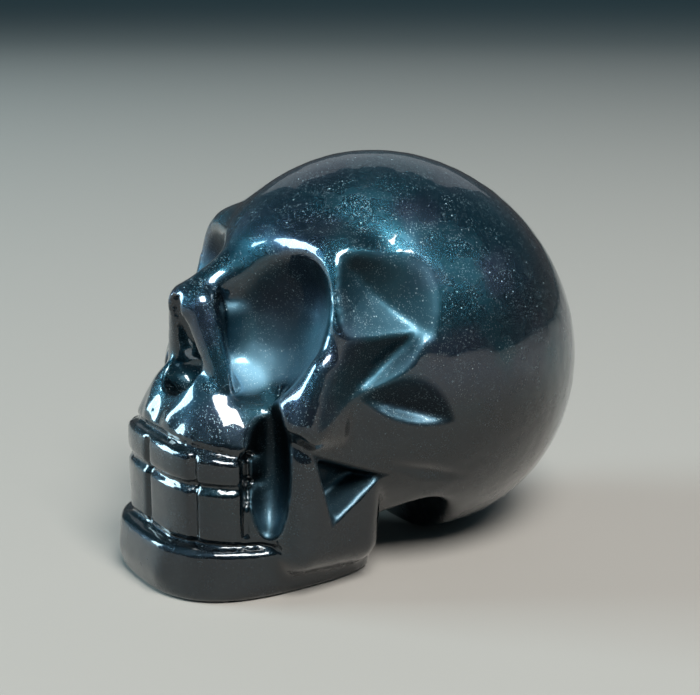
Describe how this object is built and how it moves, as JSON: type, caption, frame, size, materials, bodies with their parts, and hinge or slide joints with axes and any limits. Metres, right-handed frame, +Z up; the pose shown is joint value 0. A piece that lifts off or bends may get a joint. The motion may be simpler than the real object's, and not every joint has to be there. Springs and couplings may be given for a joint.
{
  "type": "carved stone skull",
  "caption": "Polished hematite stone carved as a small human skull, one solid piece with wheel-cut marks on the temples.",
  "frame": {"origin": "on the surface the skull stands on, under the middle of its length and width", "axes": "the face looks along -Y, the back of the head is towards +Y, +X is the skull's left side and +Z is up"},
  "size_m": [0.036, 0.0509, 0.0406],
  "materials": {
    "hematite": "mirror-polished, with fine scratches"
  },
  "bodies": {
    "root": {"carved_skull": "hematite"}
  },
  "joints": []
}
